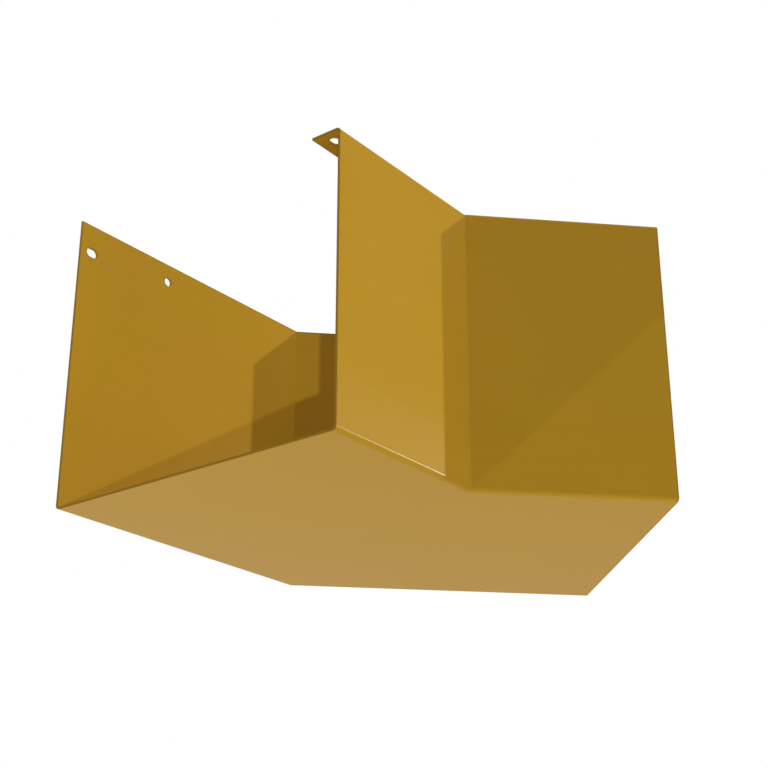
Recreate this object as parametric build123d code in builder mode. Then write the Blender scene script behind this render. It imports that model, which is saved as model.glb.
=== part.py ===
from build123d import *
from math import cos, radians, sin
import os

# Inside miter of a box gutter: two short legs of folded sheet that turn by 45 degrees.
# The back wall runs round the outside of the turn and goes against the fascia, the front wall
# and its return flange run round the inside. Z is up, the miter plane is X = 0, the back is +Y.

# The sheet and its bends
sheet_thickness = 1.0
inside_bend_radius = 1.0

# The gutter's section
inside_width = 152.4
back_height = 140.3
front_height = 131.3
flange_width = 14.7

# The two legs
turn_angle = 45.0
leg_length = 152.4

# Screw slots at both ends of the miter, long way along the gutter
slot_length = 6.3
slot_width = 4.3
slot_end_inset = 7.0
back_slot_drop = 13.9
flange_slot_inset = 7.8

# Screw hole higher up the back wall, further from each end
screw_hole_diameter = 4.3
screw_hole_end_inset = 55.8
screw_hole_drop = 9.1

# The outside of the section
outside_width = inside_width + 2 * sheet_thickness
outside_bend_radius = inside_bend_radius + sheet_thickness

# The leg on the -X side: which way it runs from the miter, and which way is front across it
half_turn = radians(turn_angle / 2)
leg_direction = Vector(-cos(half_turn), -sin(half_turn), 0)
front_direction = Vector(sin(half_turn), -cos(half_turn), 0)

# The outside back corner of the floor stands half the depth behind the origin,
# so that the origin is under the middle of the whole piece
overall_depth = leg_length * sin(half_turn) + outside_width * cos(half_turn)
miter_corner = Vector(0, overall_depth / 2, 0)
back_end = miter_corner + leg_direction * leg_length
front_end = back_end + front_direction * outside_width

section_plane = Plane(miter_corner, x_dir=front_direction, z_dir=leg_direction)
back_face = Plane(back_end, x_dir=-leg_direction, z_dir=front_direction)
flange_face = Plane(front_end + Vector(0, 0, front_height), x_dir=-leg_direction, z_dir=(0, 0, 1))

with BuildPart() as miter:
    # One leg: the sheet's outside line, thickened inwards and run from the miter to the open end
    with BuildSketch(section_plane):
        with BuildLine():
            FilletPolyline(
                (0, back_height),
                (0, 0),
                (outside_width, 0),
                (outside_width, front_height),
                (outside_width - flange_width, front_height),
                radius=outside_bend_radius,
            )
            offset(amount=sheet_thickness, side=Side.RIGHT)
        make_face()
    extrude(amount=leg_length)

    # The slot and the screw hole in the back wall
    with BuildSketch(back_face):
        with Locations((slot_end_inset, back_height - back_slot_drop)):
            SlotOverall(slot_length, slot_width)
        with Locations((screw_hole_end_inset, back_height - screw_hole_drop)):
            Circle(screw_hole_diameter / 2)
    extrude(amount=sheet_thickness, mode=Mode.SUBTRACT)

    # The slot in the return flange
    with BuildSketch(flange_face):
        with Locations((slot_end_inset, flange_slot_inset)):
            SlotOverall(slot_length, slot_width)
    extrude(amount=-sheet_thickness, mode=Mode.SUBTRACT)

    # Trimmed on the miter and matched by the other leg
    split(bisect_by=Plane.YZ, keep=Keep.BOTTOM)
    mirror(about=Plane.YZ)

miter.part.label = "gutter_inside_miter"

os.makedirs("parts", exist_ok=True)
export_step(miter.part, "parts/gutter_inside_miter.step")
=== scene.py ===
from math import cos, pi, radians, sin

import bpy
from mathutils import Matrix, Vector

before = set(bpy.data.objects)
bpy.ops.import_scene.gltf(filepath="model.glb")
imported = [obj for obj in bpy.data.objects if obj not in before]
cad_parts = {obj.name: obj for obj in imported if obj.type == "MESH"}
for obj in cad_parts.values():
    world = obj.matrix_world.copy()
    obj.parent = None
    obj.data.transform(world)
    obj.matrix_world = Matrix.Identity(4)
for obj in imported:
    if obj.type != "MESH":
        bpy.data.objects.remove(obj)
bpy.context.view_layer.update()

# The miter itself: one piece of aluminium sheet, folded to a box gutter with a return flange and turned
# through 45 degrees. It is painted ochre all over; along the sheared edges and the rims of the punched
# holes the paint is rougher, and its colour is darkened there as painted shade.
half_turn = radians(22.5)
leg_length = 0.1524
outside_width = 0.1544
back_height = 0.1403
front_height = 0.1313
sheet = 0.0010
bend = 0.0020
flange_tip = outside_width - 0.0147
back_corner = 0.100484
slot_along = leg_length - 0.0070
slot_straight = 0.0020
slot_height = back_height - 0.0139
flange_slot_across = outside_width - 0.0078
screw_along = leg_length - 0.0558
screw_height = back_height - 0.0091
hole_radius = 0.00215


class Finish:
    """A socket of a node tree. Sums, differences and products of sockets add their Math nodes."""

    def __init__(self, tree, socket=None):
        self.tree = tree
        self.socket = socket

    def add(self, kind, settings, inputs, output=0):
        node = self.tree.nodes.new(kind)
        for name, value in settings.items():
            setattr(node, name, value)
        for name, value in inputs.items():
            if isinstance(value, Finish):
                self.tree.links.new(value.socket, node.inputs[name])
            else:
                node.inputs[name].default_value = value
        return Finish(self.tree, node.outputs[output])

    def math(self, operation, first, second=0.0):
        return self.add("ShaderNodeMath", {"operation": operation}, {0: first, 1: second})

    def __add__(self, other):
        return self.math("ADD", self, other)

    def __radd__(self, other):
        return self.math("ADD", other, self)

    def __sub__(self, other):
        return self.math("SUBTRACT", self, other)

    def __rsub__(self, other):
        return self.math("SUBTRACT", other, self)

    def __mul__(self, other):
        return self.math("MULTIPLY", self, other)

    def __rmul__(self, other):
        return self.math("MULTIPLY", other, self)

    def rise(self, start, end):
        """Nothing before start, one after end, and a smooth step between them."""
        return self.add("ShaderNodeMapRange", {"interpolation_type": "SMOOTHSTEP"},
                        {"Value": self, "From Min": start, "From Max": end}, "Result")

    def tint(self, first, second):
        """From the first colour to the second, as this goes from nothing to one."""
        return self.add("ShaderNodeMix", {"data_type": "RGBA"}, {0: self, 6: first, 7: second}, 2)


paint_skin = bpy.data.materials.new("ochre_paint_on_sheet")
paint_skin.use_nodes = True
paint_tree = paint_skin.node_tree
paint = Finish(paint_tree)
paint_shader = paint_tree.nodes["Principled BSDF"]

# Where a point lies on the folded sheet: along its leg from the miter, and across it from the back.
place = paint.add("ShaderNodeTexCoord", {}, {}, "Object")
side = paint.add("ShaderNodeSeparateXYZ", {}, {"Vector": place}, "X")
depth = paint.add("ShaderNodeSeparateXYZ", {}, {"Vector": place}, "Y")
height = paint.add("ShaderNodeSeparateXYZ", {}, {"Vector": place}, "Z")
off_miter = paint.math("ABSOLUTE", side)
off_corner = back_corner - depth
along = off_miter * cos(half_turn) + off_corner * sin(half_turn)
across = off_corner * cos(half_turn) - off_miter * sin(half_turn)

# The paint is even, with a faint cloud from the coating line, fine lines from the rolled sheet, the skin of
# a sprayed coat, and a few specks of dust under it. Scales are in grains to the metre, and a speck's reach
# is a share of its grain.
cloud_scale = 22.0
roll_scale_along = 14.0
roll_scale_across = 620.0
peel_scale = 650.0
speck_scale = 130.0
speck_reach = 0.05
speck_rarity = (0.965, 0.97)
cloud = paint.add("ShaderNodeTexNoise", {}, {"Vector": place, "Scale": cloud_scale, "Detail": 3.0}, "Fac")
roll = paint.add("ShaderNodeCombineXYZ", {}, {
    "X": along * roll_scale_along,
    "Y": across * roll_scale_across,
    "Z": height * roll_scale_across,
})
roll_lines = paint.add("ShaderNodeTexNoise", {}, {"Vector": roll, "Scale": 1.0, "Detail": 2.0}, "Fac")
peel = paint.add("ShaderNodeTexNoise", {}, {"Vector": place, "Scale": peel_scale, "Detail": 1.0}, "Fac")
speck_cells = {"Vector": place, "Scale": speck_scale}
speck_colour = paint.add("ShaderNodeTexVoronoi", {}, speck_cells, "Color")
speck_dice = paint.add("ShaderNodeSeparateColor", {}, {"Color": speck_colour}, "Red")
off_speck = paint.add("ShaderNodeTexVoronoi", {}, speck_cells, "Distance")
specks = (1 - off_speck.rise(0.0, speck_reach)) * speck_dice.rise(*speck_rarity)

# The outside walls lay against the folding dies, and are duller beside the lower bends. The bends
# themselves are only a little duller than the flat sheet.
skin_middle = sheet / 2
fade = 0.0002
die_reach = 0.045
bend_end = 1.5 * bend
outside_front = across.rise(outside_width - skin_middle - fade, outside_width - skin_middle + fade)
outside_back = 1 - across.rise(skin_middle - fade, skin_middle + fade)
low = 1 - height.rise(0.0, die_reach)
die_marks = (outside_front + outside_back) * low
low_bend = 1 - height.rise(bend, bend_end)
high_bend = height.rise(front_height - bend_end, front_height - bend)
forward_bend = across.rise(outside_width - bend_end, outside_width - bend)
rearward_bend = 1 - across.rise(bend, bend_end)
bends = low_bend * forward_bend + high_bend * forward_bend + low_bend * rearward_bend

# The sheared edges and the rims of the punched holes, a ragged half millimetre wide, where the paint is
# rougher and its colour is darkened as painted shade.
edge_noise_scale = 800.0
edge_reach = 0.0009
edge_noise = paint.add("ShaderNodeTexNoise", {}, {"Vector": place, "Scale": edge_noise_scale, "Detail": 2.0}, "Fac")
ragged = edge_noise * edge_reach
leg_end = (along + ragged).rise(leg_length - fade, leg_length + fade)
back_top = (height + ragged).rise(back_height - fade, back_height + fade)
flange_under = front_height - 0.0014
at_flange_height = height.rise(flange_under - fade, flange_under + fade)
on_flange = at_flange_height * across.rise(flange_tip - 2 * sheet, flange_tip - sheet)
flange_edge = on_flange * (1 - (across - ragged).rise(flange_tip - fade, flange_tip + fade))
on_back = 1 - across.rise(1.5 * sheet, 2 * sheet)
off_slot = paint.math("ABSOLUTE", along - slot_along) - slot_straight / 2
beyond_slot = paint.math("MAXIMUM", off_slot, 0.0)
beyond_screw = along - screw_along


def rim(run, climb):
    """Round a hole whose middle line is this far away, run along the gutter and climb across it."""
    off_middle = paint.math("SQRT", run * run + climb * climb)
    return 1 - (off_middle - ragged).rise(hole_radius - fade, hole_radius + fade)


rims = on_back * (rim(beyond_slot, height - slot_height) + rim(beyond_screw, height - screw_height))
rims = rims + on_flange * rim(beyond_slot, across - flange_slot_across)
sheared = paint.math("MAXIMUM", leg_end, back_top)
edges = paint.math("MAXIMUM", sheared, paint.math("MAXIMUM", flange_edge, rims))

# The colours, the dullness of each zone above the flat sheet's, and the relief of the skin.
ochre_light = (0.460, 0.254, 0.0170, 1.0)
ochre_deep = (0.444, 0.246, 0.0158, 1.0)
# A darker ochre painted on the sheared edges and hole rims as shade, not as wear; the edge share below sets
# how much of it is laid on.
painted_edge_shade = (0.28, 0.156, 0.012, 1.0)
cloud_share = 0.6
roll_share = 0.4
edge_shade_share = 0.8
flat_roughness = 0.175
cloud_roughness = 0.03
roll_roughness = 0.03
die_roughness = 0.22
bend_roughness = 0.04
edge_roughness = 0.20
peel_relief = 0.7
roll_relief = 0.2
speck_relief = 0.4
skin_strength = 0.6
skin_depth = 0.0001
paint_specular = 0.07
tone = cloud.rise(0.25, 0.75) * cloud_share + roll_lines.rise(0.3, 0.7) * roll_share
# Random cloud and rolled lines vary the ochre; the edges and hole rims are darkened as painted shade.
colour = (edges * edge_shade_share).tint(tone.tint(ochre_deep, ochre_light), painted_edge_shade)
roughness = flat_roughness + cloud_roughness * cloud + roll_roughness * roll_lines
roughness = roughness + die_roughness * die_marks * (1 - bends) + bend_roughness * bends
roughness = roughness + edge_roughness * edges
relief = peel * peel_relief + roll_lines * roll_relief + specks * speck_relief
skin_bump = {"Strength": skin_strength, "Distance": skin_depth, "Height": relief}
skin_normal = paint.add("ShaderNodeBump", {}, skin_bump, "Normal")
paint_tree.links.new(colour.socket, paint_shader.inputs["Base Color"])
paint_tree.links.new(roughness.socket, paint_shader.inputs["Roughness"])
paint_tree.links.new(skin_normal.socket, paint_shader.inputs["Normal"])
paint_shader.inputs["Specular IOR Level"].default_value = paint_specular

miter = bpy.data.objects["gutter_inside_miter"]
for slot in miter.material_slots:
    slot.material = paint_skin

# The floor: a wide pale sheet of card that the miter stands on. It is seen from above only, so that the
# camera, which is below it, looks up at the miter's underside, and it fades into the white round it.
floor_reach = 4.0
floor_drop = -0.0008
fade_start = 0.5
fade_end = 1.6
floor_mesh = bpy.data.meshes.new("pale_floor")
corners = [
    (-floor_reach, -floor_reach, floor_drop),
    (floor_reach, -floor_reach, floor_drop),
    (floor_reach, floor_reach, floor_drop),
    (-floor_reach, floor_reach, floor_drop),
]
floor_mesh.from_pydata(corners, [], [(0, 1, 2, 3)])
floor = bpy.data.objects.new("pale_floor", floor_mesh)
bpy.context.scene.collection.objects.link(floor)
floor.visible_diffuse = False
floor.visible_glossy = False
floor.visible_transmission = False
floor.visible_shadow = False

floor_card = bpy.data.materials.new("pale_card")
floor_card.use_nodes = True
card_tree = floor_card.node_tree
card = Finish(card_tree)
card_shader = card_tree.nodes["Principled BSDF"]
card_dark = (0.86, 0.86, 0.85, 1.0)
card_light = (0.90, 0.90, 0.89, 1.0)
fibre_scale = 300.0
card_place = card.add("ShaderNodeTexCoord", {}, {}, "Object")
from_middle = card.add("ShaderNodeVectorMath", {"operation": "LENGTH"}, {0: card_place}, "Value")
fibre_noise = {"Vector": card_place, "Scale": fibre_scale, "Detail": 3.0}
card_fibre = card.add("ShaderNodeTexNoise", {}, fibre_noise, "Fac")
card_colour = card_fibre.tint(card_dark, card_light)
card_tree.links.new(card_colour.socket, card_shader.inputs["Base Color"])
card_shader.inputs["Roughness"].default_value = 0.9
card_shader.inputs["Specular IOR Level"].default_value = 0.1
seen_from_below = card.add("ShaderNodeNewGeometry", {}, {}, "Backfacing")
clear = card.math("MAXIMUM", seen_from_below, from_middle.rise(fade_start, fade_end))
card_solid = Finish(card_tree, card_shader.outputs[0])
card_clear = card.add("ShaderNodeBsdfTransparent", {}, {})
card_mix = card.add("ShaderNodeMixShader", {}, {0: clear, 1: card_solid, 2: card_clear})
card_tree.links.new(card_mix.socket, card_tree.nodes["Material Output"].inputs["Surface"])
floor_mesh.materials.append(floor_card)

# The studio: white all round, a little greyer to the right where the paint mirrors it. Three narrow lamps
# cast shadows across the folds, and wide soft lamps fill the rest.
studio = bpy.data.worlds.new("white_studio")
bpy.context.scene.world = studio
studio.use_nodes = True
studio_tree = studio.node_tree
round_about = Finish(studio_tree)
fill_light = 0.10
mirrored_middle = 0.85
mirrored_slope = 0.50
camera_ray = round_about.add("ShaderNodeLightPath", {}, {}, "Is Camera Ray")
glossy_ray = round_about.add("ShaderNodeLightPath", {}, {}, "Is Glossy Ray")
through_ray = round_about.add("ShaderNodeLightPath", {}, {}, "Is Transmission Ray")
seen_white = round_about.math("MAXIMUM", round_about.math("MAXIMUM", camera_ray, glossy_ray), through_ray)
look = round_about.add("ShaderNodeTexCoord", {}, {}, "Generated")
to_right = round_about.add("ShaderNodeSeparateXYZ", {}, {"Vector": look}, "X")
mirrored = round_about.math("MINIMUM", 1.0, mirrored_middle - mirrored_slope * to_right)
seen = camera_ray + (1 - camera_ray) * mirrored
white_level = fill_light * (1 - seen_white) + seen_white * seen
studio_tree.links.new(white_level.socket, studio_tree.nodes["Background"].inputs["Strength"])
studio_tree.nodes["Background"].inputs["Color"].default_value = (1.0, 1.0, 1.0, 1.0)

# Each lamp: degrees round from +X and up that it stands at, how many degrees wide it looks, and how bright
# it lights a white surface that faces it. Only lamps narrower than a degree are mirrored in the paint.
mirrored_width = 1.0
lamps = {
    "right_lamp": (-15.0, 9.74, 0.6, 0.44),
    "front_lamp": (-115.75, -25.71, 0.6, 0.263),
    "left_lamp": (178.2, -29.5, 1.0, 0.19),
    "soft_right_below": (-40.0, -55.0, 60.0, 0.44),
    "soft_left_below": (150.0, -40.0, 60.0, 0.24),
    "soft_back_below": (90.0, -45.0, 60.0, 0.18),
    "soft_above": (0.0, 90.0, 70.0, 0.24),
    "soft_above_front": (-60.0, 50.0, 60.0, 0.42),
    "soft_above_back": (60.0, 45.0, 60.0, 0.14),
    "soft_back": (90.0, 10.0, 60.0, 0.25),
}
for lamp_name, (turn, lift, width, level) in lamps.items():
    lamp = bpy.data.lights.new(lamp_name, "SUN")
    lamp.energy = level * pi
    lamp.angle = radians(width)
    stand = bpy.data.objects.new(lamp_name, lamp)
    stand.visible_camera = False
    stand.visible_glossy = width < mirrored_width
    bpy.context.scene.collection.objects.link(stand)
    flat = cos(radians(lift))
    towards = Vector((cos(radians(turn)) * flat, sin(radians(turn)) * flat, sin(radians(lift))))
    stand.rotation_euler = towards.to_track_quat("Z", "Y").to_euler()

# The camera: low in front of the left leg's open end, looking up at the underside of the miter.
camera_tilt = radians(23.154)
camera_turn = radians(-30.0)
lens = bpy.data.cameras.new("low_camera")
lens.sensor_width = 36.0
lens.lens = 70.09
low_camera = bpy.data.objects.new("low_camera", lens)
bpy.context.scene.collection.objects.link(low_camera)
low_camera.location = (-0.32323, -0.55415, -0.20143)
low_camera.rotation_euler = (pi / 2 + camera_tilt, 0.0, camera_turn)
bpy.context.scene.camera = low_camera
bpy.context.scene.view_settings.view_transform = "Standard"
